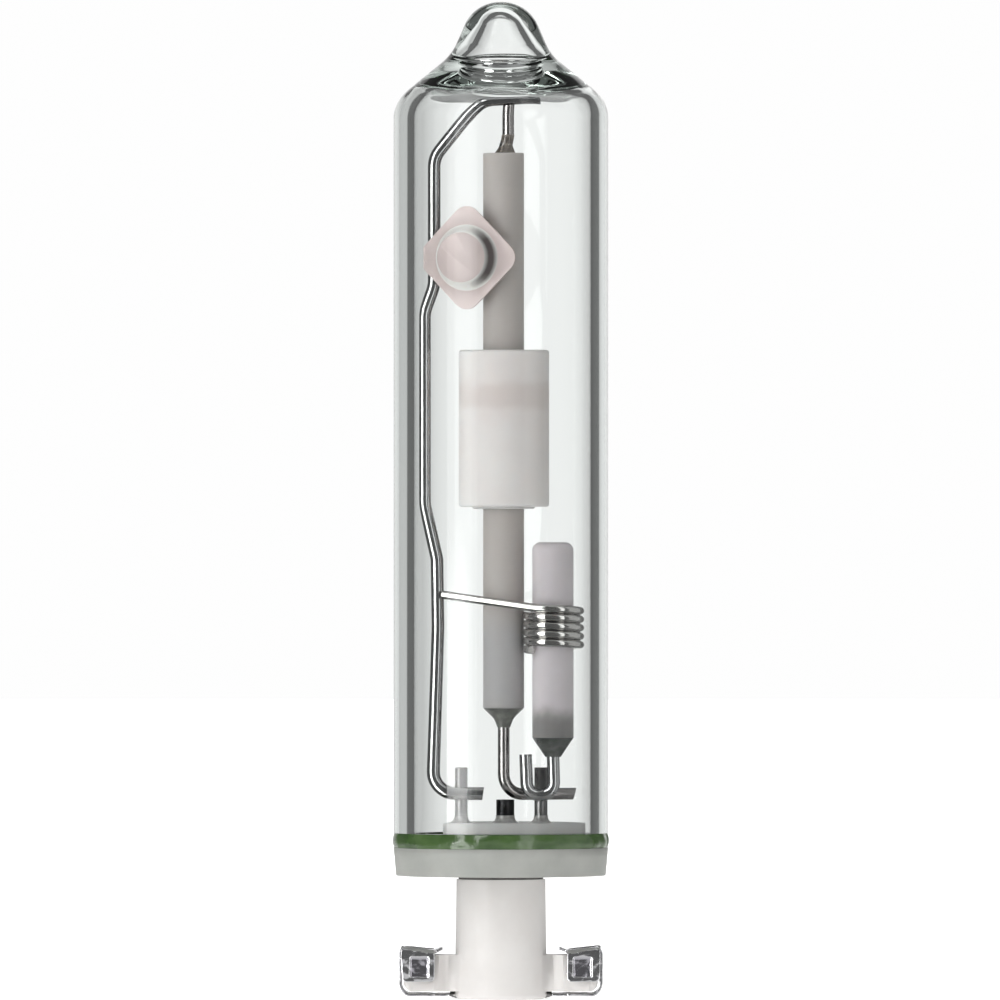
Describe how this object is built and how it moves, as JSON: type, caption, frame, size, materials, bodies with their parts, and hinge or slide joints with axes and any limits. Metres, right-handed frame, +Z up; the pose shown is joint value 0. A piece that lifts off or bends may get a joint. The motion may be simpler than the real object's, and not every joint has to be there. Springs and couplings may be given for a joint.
{
  "type": "metal halide lamp",
  "caption": "Compact discharge lamp: clear tubular bulb with a pulled tip, ceramic arc tube on wires, ceramic flange and a twist-lock cap with sprung side contacts.",
  "frame": {"origin": "on the lamp's axis, at the underside of the ceramic base disc that seats on the holder", "axes": "+Z up the bulb along its axis; X through the two lugs; the getter and the ignition coil face -Y"},
  "size_m": [0.0125, 0.0126, 0.057],
  "materials": {
    "bulb_glass": "clear, fire-polished",
    "seal_glass": "glossy, uneven",
    "disc_ceramic": "matt, pressed",
    "cap_ceramic": "matt, white",
    "cement": "matt",
    "contact_metal": "bright plated sheet",
    "lead_metal": "drawn wire",
    "pin_metal": "satin",
    "exhaust_metal": "oxidised",
    "bead_glass": "glossy",
    "frame_metal": "bright drawn wire",
    "niobium": "satin",
    "vessel_ceramic": "translucent, satin",
    "capillary_ceramic": "translucent, satin",
    "dark_frit": "satin",
    "refractory_metal": "satin",
    "filling_salt": "frozen melt",
    "filling_metal": "liquid drop",
    "capsule_ceramic": "translucent, satin",
    "coil_metal": "bright drawn wire",
    "getter_metal": "satin, pressed",
    "getter_powder": "pressed powder"
  },
  "bodies": {
    "root": {"outer_bulb": "bulb_glass", "seal_ring": "seal_glass", "base_disc": "disc_ceramic", "cap_cement": "cement", "cap_body": "cap_ceramic", "contact_clip_left": "contact_metal", "contact_clip_right": "contact_metal", "lead_pin_left": "pin_metal", "lead_pin_right": "pin_metal", "lead_tail_left": "lead_metal", "lead_tail_right": "lead_metal", "exhaust_stub": "exhaust_metal", "pin_bead_left": "bead_glass", "pin_bead_right": "bead_glass", "exhaust_bead": "bead_glass", "frame_wire": "frame_metal", "arc_body": "vessel_ceramic", "arc_plug_upper": "vessel_ceramic", "arc_plug_lower": "vessel_ceramic", "capillary_upper": "capillary_ceramic", "capillary_lower": "capillary_ceramic", "frit_upper": "dark_frit", "frit_lower": "dark_frit", "feedthrough_upper": "niobium", "feedthrough_lower": "niobium", "capillary_winding_upper": "refractory_metal", "capillary_winding_lower": "refractory_metal", "electrode_rod_upper": "refractory_metal", "electrode_rod_lower": "refractory_metal", "electrode_tip_upper": "refractory_metal", "electrode_tip_lower": "refractory_metal", "salt_dose": "filling_salt", "mercury_drop": "filling_metal", "enhancer_capsule": "capsule_ceramic", "enhancer_frit": "dark_frit", "enhancer_lead": "niobium", "enhancer_coil": "coil_metal", "getter_tab": "getter_metal", "getter_pill": "getter_powder"}
  },
  "joints": []
}
